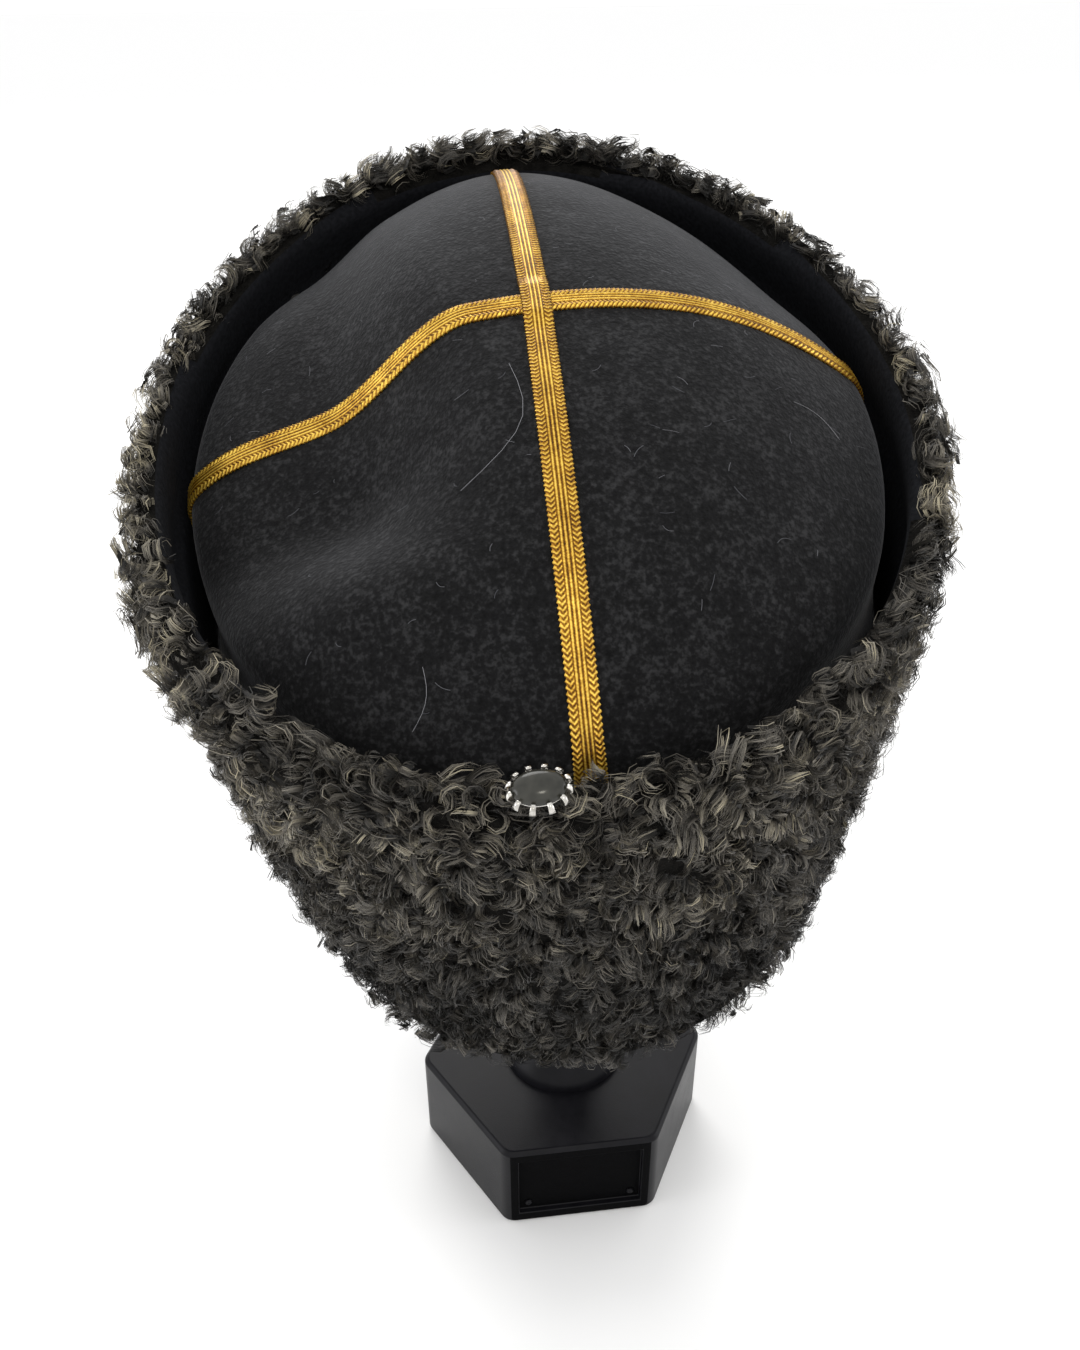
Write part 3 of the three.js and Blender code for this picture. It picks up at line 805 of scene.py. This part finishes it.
def curl_strands(rng, along, turn):
    """Points, side vectors, shades and patterns of the strands of every curl: ribbons and single hairs."""
    locks = len(along)
    round_it, up_it, out = pelt_frame(along, turn)
    surface = pelt_point(along, turn)
    on_roll = smooth((along - (FACE_END - 14)) / 12)
    flow = 2.2 * math.pi * lattice_noise(surface, 30, 5) + rng.normal(0, 0.9, locks)
    ahead = np.cos(flow)[:, None] * round_it + np.sin(flow)[:, None] * up_it
    sideways = np.cross(out, ahead)
    hand = rng.choice([-1, 1], locks)
    tilt = hand * np.radians(mix(rng.uniform(*WALL_LEAN, locks), rng.uniform(*ROLL_LEAN, locks), on_roll))
    radius = mix(rng.uniform(*WALL_RADIUS, locks), rng.uniform(*ROLL_RADIUS, locks), on_roll)
    width = rng.uniform(*LOCK_WIDTH, locks)
    axis = np.cos(tilt)[:, None] * sideways + np.sin(tilt)[:, None] * out
    down = -np.cos(tilt)[:, None] * out + np.sin(tilt)[:, None] * sideways
    stand = 0.2 + tuft_height(surface, along, turn) + rng.normal(0, 0.6, locks)
    sink = np.minimum(1.8 * radius * np.cos(tilt) - stand, mix(9.0, 7.0, on_roll))
    centre = surface - out * sink[:, None] + out * (radius * np.cos(tilt) * 0.8)[:, None]

    each = (locks, STRANDS_PER_LOCK)
    single = rng.random(each) < SINGLE_SHARE
    place = rng.uniform(-0.5, 0.5, each) * width[:, None]
    reach = radius[:, None] * rng.uniform(0.45, 1.05, each) ** 0.8 * np.where(single, 1.08, 1)
    start = np.radians(rng.normal(*STRAND_START, each))
    sweep = np.radians(rng.normal(*STRAND_SWEEP, each))
    climb = rng.normal(0, 0.8, each) + rng.uniform(-2.2, 2.2, locks)[:, None]
    step = np.linspace(0, 1, STRAND_POINTS)
    phase = start[..., None] + sweep[..., None] * step
    close = reach[..., None] * (1 - 0.22 * step * rng.uniform(0, 1, each)[..., None])
    shift = place[..., None] + climb[..., None] * step + 0.25 * np.sin(phase * 2.7 + place[..., None])

    def along_axes(cosine, sine, sideways_by):
        return (cosine[..., None] * down[:, None, None, :] + sine[..., None] * ahead[:, None, None, :]
                + sideways_by[..., None] * axis[:, None, None, :])

    points = centre[:, None, None, :] + along_axes(close * np.cos(phase), close * np.sin(phase), shift)
    lean = np.where(single, rng.uniform(-1.1, 1.1, each), rng.normal(0, 0.32, each))[..., None]
    flat = np.cos(lean) * np.ones_like(phase)
    side = along_axes(np.cos(phase) * np.sin(lean), np.sin(phase) * np.sin(lean), flat)
    taper = np.interp(step, [0, 0.15, 0.6, 1.0], [0.8, 1.0, 0.9, 0.35])
    wide = np.where(single, SINGLE_WIDTH, STRAND_WIDTH) * rng.uniform(0.65, 1.3, each)
    side = side * (0.5 * wide[..., None] * taper)[..., None]

    lock_shade = rng.uniform(0.26, 0.66, locks) + 0.16 * lattice_noise(surface, 22, 7)
    # Painted light and shade: locks lighter higher up the wall and towards the hat's left, darker low down
    # and towards its right.
    lock_shade += 0.28 * smooth((surface[:, 2] - 40) / 100) - 0.22 - 0.0008 * surface[:, 0]
    lock_shade = mix(lock_shade, 0.97, cream_share(surface))
    shade = np.clip(lock_shade[:, None] + rng.normal(0, 0.14, each), 0, 0.999)
    pattern = np.where(single, 0, rng.integers(1, STRAND_PATTERNS, each))
    return points, side, np.floor(shade * SHADE_STEPS), pattern


def strand_ribbons(name, points, side, shade, pattern, finish):
    """One mesh of ribbons. Each one's map is the field of its shade and pattern, with its tip at the top."""
    count = shade.size
    centre = points.reshape(count, STRAND_POINTS, 3)
    half = side.reshape(count, STRAND_POINTS, 3)
    corners = np.stack([centre - half, centre + half], axis=2)
    faces = ribbon_faces(count, STRAND_POINTS)
    across = (shade.reshape(count, 1, 1) + np.array([0.03, 0.97])) / SHADE_STEPS
    along = (pattern.reshape(count, 1, 1) + np.linspace(0.02, 0.98, STRAND_POINTS)[:, None]) / STRAND_PATTERNS
    uv = stacked(across, along).reshape(-1, 2)
    return make_piece(name, hat_to_row(corners.reshape(-1, 3)), faces, [finish], uv=uv)


def fur_curls():
    """The curls, in pieces that share the hat's round between them."""
    rng = np.random.default_rng(11)
    along, turn = lock_roots(rng)
    strands = curl_strands(rng, along, turn)
    finish = curl_finish()
    sector = (turn / FULL_TURN * CURL_PIECES).astype(int) % CURL_PIECES
    return [strand_ribbons(f"fur_curls_{index + 1}", *(part[sector == index] for part in strands), finish)
            for index in range(CURL_PIECES)]


# Crown

CROWN_COLUMNS = 220

# How far the cloth runs down past the crown's edge before it leans in to the skirt's foot
SKIRT_START = 27.0


def felt_crown():
    """The cloth shell: its top, the skirt down into the groove and its underside."""
    turn = turns(CROWN_COLUMNS)[None, :]
    shares = np.linspace(0.02, 1, 60)[:, None] ** 0.9
    travels = np.linspace(0, SKIRT_START, 19)[1:, None]
    outside = np.concatenate([crown_point(shares, turn), skirt_point(turn, travels)])
    above = outside[-1]
    foot_turn = np.arctan2(above[:, 1] / HEM_HALF_LENGTH, above[:, 0] / HEM_HALF_WIDTH)
    foot_height = HAT_HEIGHT - SKIRT_DROP
    foot = hat_point(spread_at(foot_height), WALL_THICKNESS + SOFT_CLEARANCE, foot_height, foot_turn)
    steps = np.linspace(0, 1, 9)[1:, None, None]
    outside = np.concatenate([outside, mix(above, foot, steps)])
    outside[..., 2] += 0.3 * lattice_noise(outside, 26, 31) + 0.12 * lattice_noise(outside, 9, 32)
    along = np.gradient(outside, axis=0)
    across = np.roll(outside, -1, axis=1) - np.roll(outside, 1, axis=1)
    out = unit(np.cross(along, across))
    inside = outside - out * CLOTH_THICKNESS
    inside = np.concatenate([inside[::3], inside[-1:]])
    inside[-1, :, 2] = outside[-1, :, 2]
    rings = np.concatenate([inside, outside[::-1]])
    top = crown_point(0.0, np.array([0.0]))
    points = np.concatenate([rings.reshape(-1, 3), top - [0, 0, CLOTH_THICKNESS], top])
    faces = capped_faces(len(rings), CROWN_COLUMNS)
    return make_piece("felt_crown", hat_to_row(points), faces, [felt_finish()])


FIBRES = 110
FIBRE_POINTS = 8
# Long stray hairs on the crown: start and end to the right and ahead of the crossing, and how far they bow
STRAY_HAIRS = [(-9.0, -21.0, -24.0, -50.0, 9.0), (60.0, -28.0, 71.0, -34.0, 2.0),
               (-37.0, -88.0, -41.0, -99.0, 2.0)]


def wool_fibres():
    """Loose fibres and a few long hairs lying on the crown."""
    rng = np.random.default_rng(5)
    heading = rng.uniform(0, FULL_TURN, FIBRES)
    out = np.sqrt(rng.uniform(0.02, 0.86, FIBRES)) * crown_reach(heading)
    way = rng.uniform(0, FULL_TURN, FIBRES)
    size = rng.uniform(1.0, 4.0, FIBRES)
    start = stacked(out * np.cos(heading), out * np.sin(heading))
    end = start + stacked(np.cos(way), np.sin(way)) * size[:, None]
    loose = np.column_stack([start, end, rng.normal(0, 0.12, FIBRES) * size])
    hairs = np.concatenate([loose, STRAY_HAIRS])
    start, end, bow = hairs[:, :2], hairs[:, 2:4], hairs[:, 4]
    shade = np.concatenate([rng.uniform(0, 0.4, FIBRES), np.full(len(STRAY_HAIRS), 0.8)])
    step = np.linspace(0, 1, FIBRE_POINTS)[None, :]
    across = unit(stacked(start[:, 1] - end[:, 1], end[:, 0] - start[:, 0]))
    flat = (mix(start[:, None], end[:, None], step[..., None])
            + across[:, None] * (bow[:, None] * np.sin(step * math.pi))[..., None])
    middle = felt_point(flat[..., 0], flat[..., 1]) + [0, 0, 0.5]
    forwards = np.gradient(middle, axis=1)
    half = unit(np.cross(forwards, [0, 0, 1.0])) * 0.05
    corners = np.stack([middle - half, middle + half], axis=2)
    faces = ribbon_faces(len(shade), FIBRE_POINTS)
    tone = shade[:, None, None] * 0.96 + np.array([0.01, 0.03])
    uv = stacked(tone, step[..., None]).reshape(-1, 2)
    return make_piece("loose_fibres", hat_to_row(corners.reshape(-1, 3)), faces, [fibre_finish()], uv=uv)


# Braids

# Weave of the braids in millimetres: cords up to CORDS_END from the middle, then stitches that turn at
# STITCH_TURN and lean by STITCH_SLANT along the braid for each one across it
RIB_PITCH = 1.0
LOOP_PITCH = 1.15
CORDS_END = 1.4
STITCH_TURN = 2.5
STITCH_SLANT = 0.9
BRAID_COLUMNS = 41
BRAID_STEP = 0.33


def braid_relief(across, along):
    """Height of the weave: cords along the middle, slanted stitches and loops at the edges."""
    side = np.abs(across) * BRAID_HALF_WIDTH
    middle = 1 - smooth((side - CORDS_END) / 0.3)
    cords = 0.16 * np.cos(side * FULL_TURN / RIB_PITCH)
    slant = np.abs(side - STITCH_TURN)
    stitches = 0.16 * np.cos((along + STITCH_SLANT * slant) * FULL_TURN / LOOP_PITCH)
    stitches += 0.08 * np.cos(slant * 5)
    rounding = -0.35 * smooth((side - 2.9) / 0.6)
    return middle * cords + (1 - middle) * stitches + rounding


def braid_strip(name, start_arm, end_arm, lift_at):
    """A braid along two arms, laid on the cloth, with its weave raised."""
    start_length = float(crown_reach(start_arm)) - CROWN_BEND + BRAID_TUCK
    end_length = float(crown_reach(end_arm)) - CROWN_BEND + BRAID_TUCK
    travel = np.arange(-start_length, end_length, BRAID_STEP)
    across = np.linspace(-1, 1, BRAID_COLUMNS)
    loops = 0.22 * np.cos(travel * FULL_TURN / LOOP_PITCH)
    spread = across[None, :] * (BRAID_HALF_WIDTH + loops[:, None] * smooth((np.abs(across) - 0.8) / 0.2))

    def on_cloth(aside):
        first = arm_point(start_arm, np.abs(travel)[:, None], -aside)
        second = arm_point(end_arm, np.abs(travel)[:, None], aside)
        return np.where((travel < 0)[:, None, None], first, second)

    cloth = on_cloth(spread)
    forwards = np.gradient(cloth, axis=0)
    sideways = np.gradient(cloth, axis=1)
    up = unit(np.cross(sideways, forwards))
    up *= np.sign(up[len(up) // 2, BRAID_COLUMNS // 2, 2])
    base = lift_at(np.abs(travel))[:, None]
    height = base + BRAID_THICKNESS * 0.75 + braid_relief(across[None, :], travel[:, None])
    top = cloth + up * height[..., None]
    under = (cloth + up * (base - 0.2)[..., None])[:, ::BRAID_COLUMNS // 2][:, ::-1]
    rings = np.concatenate([top, under], axis=1)
    length = travel[-1] - travel[0]
    across_map = np.concatenate([(across + 1) / 2, [1.0, 0.5, 0.0]])
    along_map = (travel - travel[0]) / length
    uv = stacked(across_map[None, :], along_map[:, None]).reshape(-1, 2)
    points = with_poles(rings)
    uv = np.concatenate([uv, [[0.5, 0], [0.5, 1]]])
    finish = braid_finish(name + "_thread", length)
    return make_piece(name, hat_to_row(points), capped_faces(*rings.shape[:2]), [finish], uv=uv)


def braids():
    """The braid from side to side and the one from front to back, which climbs over it."""
    def close_to_cloth(along):
        return 0.1 + 0 * along

    def over_cross(along):
        beyond = (along - BRAID_HALF_WIDTH - 1.0) / 6
        return 0.1 + (BRAID_THICKNESS + 0.3) * (1 - smooth(beyond))

    cross = braid_strip("braid_cross_weave", ARM_LEFT, ARM_RIGHT, close_to_cloth)
    long = braid_strip("braid_long_weave", ARM_FRONT, ARM_BACK, over_cross)
    return cross, long


# Stud

STUD_COLUMNS = 96

# Inset from the stud's edge and height: along a tooth, whose width narrows, and round the plate's rim
TOOTH_PATH = np.array([(0.55, 0.1), (0.05, 0.5), (0.0, 1.3), (0.35, 1.95), (1.05, 2.3)])
TOOTH_NARROWING = (1.0, 1.0, 0.95, 0.85, 0.7)
PLATE_PATH = [(1.8, 0.0), (1.2, 0.0), (1.1, 0.2), (1.2, 0.6), (1.8, 0.8)]
STUD_TEETH = 12
TOOTH_WIDTH = 1.35
TOOTH_HALF_THICKNESS = 0.12
DOME_INSET = 0.95
DOME_FOOT = 0.9

# How far the near teeth's feet stand out past the others'
NEAR_SPLAY = 1.3


def stud_to_row(points):
    """From the stud's own frame to its seat on the near side of the rim."""
    turn = 1.5 * math.pi - math.asin(STUD_LEFT / RIM_HALF_WIDTH)
    crest = hat_point(1.0, STUD_INSET, HAT_HEIGHT, turn)
    lean = np.array(Matrix.Rotation(STUD_LEAN, 3, "X"))
    tilt = lean @ np.array([0, 0, 1.0])
    return hat_to_row(points @ lean.T + crest + tilt * 0.3)


def oval_solid(name, rings, finish):
    """Closed solid from rings of (half length, half width, height) arrays round the oval."""
    faces = capped_faces(len(rings), len(rings[0]))
    return make_piece(name, stud_to_row(with_poles(rings)), faces, [finish])


def oval_ring(half_length, half_width, height):
    turn = turns(STUD_COLUMNS)
    return stacked(half_length * np.cos(turn), half_width * np.sin(turn), height)


def stud_teeth(half):
    """Bright teeth that stand round the dome and bend in over its edge, as rings of four corners each."""
    teeth = []
    for turn in (np.arange(STUD_TEETH) + 0.5) / STUD_TEETH * FULL_TURN:
        out = np.array([math.cos(turn), math.sin(turn), 0])
        aside = unit(np.array([-half[0] * math.sin(turn), half[1] * math.cos(turn), 0]))
        rings = []
        splay = NEAR_SPLAY * max(-out[1], 0)
        for (inset, height), narrow in zip(TOOTH_PATH, TOOTH_NARROWING):
            inset = inset - splay * (1 - height / STUD_HEIGHT)
            spot = np.array([(half[0] - inset) * out[0], (half[1] - inset) * out[1], height])
            reach = aside * TOOTH_WIDTH * narrow / 2
            thick = (out + [0, 0, 1]) * TOOTH_HALF_THICKNESS
            before, after = spot - reach, spot + reach
            rings.append([before + thick, after + thick, after - thick, before - thick])
        teeth.append(np.array(rings).reshape(-1, 3))
    return teeth


def stud_pieces():
    """An oval dome on a plate, held by a ring of bright teeth."""
    half = np.array([STUD_LENGTH / 2, STUD_WIDTH / 2])
    tin = tin_finish()
    plate_rings = [oval_ring(*(half - inset), height) for inset, height in PLATE_PATH]
    plate = oval_solid("stud_plate", plate_rings, tin)
    rows = len(TOOTH_PATH)
    sides = grid_faces(rows, 4)
    ends = np.array([[3, 2, 1, 0], [4 * rows - 4, 4 * rows - 3, 4 * rows - 2, 4 * rows - 1]])
    teeth = stud_teeth(half)
    faces = np.concatenate([np.concatenate([sides, ends]) + index * 4 * rows for index in range(len(teeth))])
    crimp = make_piece("stud_setting_teeth", stud_to_row(np.concatenate(teeth)), faces, [tin], flat=True)
    dome_rings = []
    for share in np.linspace(0, 0.97, 14):
        narrow = math.cos(share * math.pi / 2) ** 0.8
        height = DOME_FOOT + (STUD_HEIGHT - DOME_FOOT) * math.sin(share * math.pi / 2)
        dome_rings.append(oval_ring(*((half - DOME_INSET) * narrow), height))
    dome = oval_solid("stud_dome_enamel", dome_rings, enamel_finish())
    return plate, crimp, dome


# Stand

def hexagon_outline(side, corner_radius):
    trimmed = corner_radius * math.tan(math.pi / 6) / side
    points = []
    for index in range(6):
        before, here, after = (
            np.array([side * math.cos(step * math.pi / 3), side * math.sin(step * math.pi / 3)])
            for step in (index - 1, index, index + 1)
        )
        points.extend(corner_arc(mix(here, before, trimmed), here, mix(here, after, trimmed), 8))
    return np.array(points)


def stand_base(finish):
    """Hexagonal block with softened edges and a shallow panel sunk into its near side."""
    rings = []
    for height in (0, STAND_BEVEL, STAND_HEIGHT - STAND_BEVEL, STAND_HEIGHT):
        at_end = height in (0, STAND_HEIGHT)
        side = STAND_SIDE - (STAND_BEVEL * 2 / math.sqrt(3) if at_end else 0)
        outline = hexagon_outline(side, STAND_CORNER_RADIUS)
        rings.append(np.column_stack([outline, np.full(len(outline), height)]))
    poles = np.array([[0, 0, 0], [0, 0, STAND_HEIGHT]], float)
    points = np.concatenate([*rings, poles]) * MM
    faces = capped_faces(len(rings), len(rings[0]))
    base = make_piece("stand_base_block", points, faces, [finish, near_facet_shade_finish()], flat=True)
    cutter = panel_cutter(finish)
    cut = base.modifiers.new("panel", "BOOLEAN")
    cut.object = cutter
    cut.operation = "DIFFERENCE"
    soften = base.modifiers.new("soften", "BEVEL")
    soften.width = 0.6 * MM
    soften.segments = 3
    soften.angle_limit = math.radians(25)
    soften.harden_normals = True
    apply_modifiers(base)
    bpy.data.objects.remove(cutter)
    for face in base.data.polygons:
        # Faces turned to the near side get the darker copy of the plastic, as painted shade.
        face.material_index = 1 if face.normal.y < -0.95 else 0
    return base


def panel_cutter(finish):
    near = -STAND_SIDE * math.sqrt(3) / 2
    half = PANEL_WIDTH / 2
    low, high = PANEL_RISE, PANEL_RISE + PANEL_HEIGHT
    corners = np.array(list(product((-half, half), (near - 4, near + PANEL_DEPTH), (low, high))), float)
    order = np.array([[0, 4, 5, 1], [2, 3, 7, 6], [0, 1, 3, 2], [4, 6, 7, 5], [0, 2, 6, 4], [1, 5, 7, 3]])
    return make_piece("panel_cutter", corners * MM, order, [finish], flat=True)


def apply_modifiers(piece):
    graph = bpy.context.evaluated_depsgraph_get()
    mesh = bpy.data.meshes.new_from_object(piece.evaluated_get(graph))
    piece.modifiers.clear()
    old = piece.data
    piece.data = mesh
    bpy.data.meshes.remove(old)


def stand_post(finish):
    """The round foot and column, and the domed head inside the crown."""
    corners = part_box("stand_post")
    low, high = (corner.z / MM for corner in corners)
    head_radius = corners[1].x / MM

    def on_head(radius):
        return high - HEAD_ROUND + math.sqrt(HEAD_ROUND ** 2 - radius ** 2)

    rim = on_head(head_radius)
    profile = [(0, low), (FOOT_RADIUS, low), (FOOT_RADIUS, STAND_HEIGHT + 0.15 * FOOT_HEIGHT),
               (POST_RADIUS, STAND_HEIGHT + FOOT_HEIGHT), (POST_RADIUS, rim - 28), (head_radius - 8, rim - 8),
               (head_radius, rim - 4), (head_radius, rim)]
    profile += [(radius, on_head(radius)) for radius in (32, 24, 16, 8)]
    profile.append((0, high))
    return lathe("stand_post_turned", rounded_profile(profile, 3.0), 96, finish)


def stand_screws(finish):
    """Two small screws at the lower corners of the sunk panel."""
    near = -STAND_SIDE * math.sqrt(3) / 2 + PANEL_DEPTH
    made = []
    for side in (-1, 1):
        name = f"stand_screw_{'left' if side < 0 else 'right'}"
        screw = lathe(name, SCREW_PROFILE, 24, finish)
        place = Matrix.Translation(Vector((side * (PANEL_WIDTH / 2 - 4), near, PANEL_RISE + 4)) * MM)
        screw.data.transform(place @ Matrix.Rotation(math.pi / 2, 4, "X"))
        made.append(screw)
    return made


# Floor and light

FLOOR_HALF = 6.0

# Lights: name, place and width in metres, power in watts and colour
LIGHTS = [
    ("far_softbox", (-0.2, 1.9, 1.8), 1.6, 26, (1.0, 0.99, 0.97)),
    ("left_softbox", (-1.8, -0.3, 0.7), 1.0, 7, (0.96, 0.96, 1.0)),
    ("right_softbox", (1.8, -0.2, 0.6), 1.0, 5, (0.96, 0.96, 1.0)),
    ("near_lamp", (-0.02, -0.89, 1.28), 0.24, 1.6, (1.0, 0.95, 0.82)),
]
LIGHTS_AIM = Vector((0, 0, 0.3))
BACKGROUND_COLOUR = (0.985, 0.985, 0.985, 1)
BACKGROUND_STRENGTH = 1.12


def stage():
    corners = np.array([[-1, -1, 0], [1, -1, 0], [1, 1, 0], [-1, 1, 0]]) * FLOOR_HALF
    floor = make_piece("floor", corners, np.array([[0, 1, 2, 3]]), [floor_finish()], flat=True)


def lights():
    for name, place, width, power, colour in LIGHTS:
        data = bpy.data.lights.new(name, "AREA")
        data.shape = "DISK"
        data.size = width
        data.energy = power
        data.color = colour
        light = put_in_scene(name, data)
        light.location = place
        light.rotation_mode = "QUATERNION"
        light.rotation_quaternion = (LIGHTS_AIM - Vector(place)).to_track_quat("-Z", "Y")
    world = bpy.data.worlds.new("studio")
    world.use_nodes = True
    background = world.node_tree.nodes["Background"]
    background.inputs["Color"].default_value = BACKGROUND_COLOUR
    background.inputs["Strength"].default_value = BACKGROUND_STRENGTH
    bpy.context.scene.world = world
    bpy.context.scene.view_settings.view_transform = "Standard"


# Assembly

def dress(piece, slot, *nodes):
    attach(piece, "root")
    if nodes:
        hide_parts(*nodes)


place_camera()
dress(fur_pelt(), "karakul_fur", "fur_band")
for curls in fur_curls():
    dress(curls, "karakul_fur", "fur_band")
crown = felt_crown()
dress(crown, "felt_cloth", "crown_cap")
dress(wool_fibres(), "felt_cloth")
cross_braid, long_braid = braids()
dress(cross_braid, "gold_braid", "braid_cross")
dress(long_braid, "gold_braid", "braid_long")
plate, crimp, dome = stud_pieces()
dress(plate, "stud_metal", "stud_setting")
dress(crimp, "stud_metal", "stud_setting")
dress(dome, "stud_cap", "stud_dome")
plastic = stand_finish()
dress(stand_base(plastic), "stand_plastic", "stand_base")
dress(stand_post(plastic), "stand_plastic", "stand_post")
for screw in stand_screws(plastic):
    dress(screw, "stand_plastic")
stage()
lights()
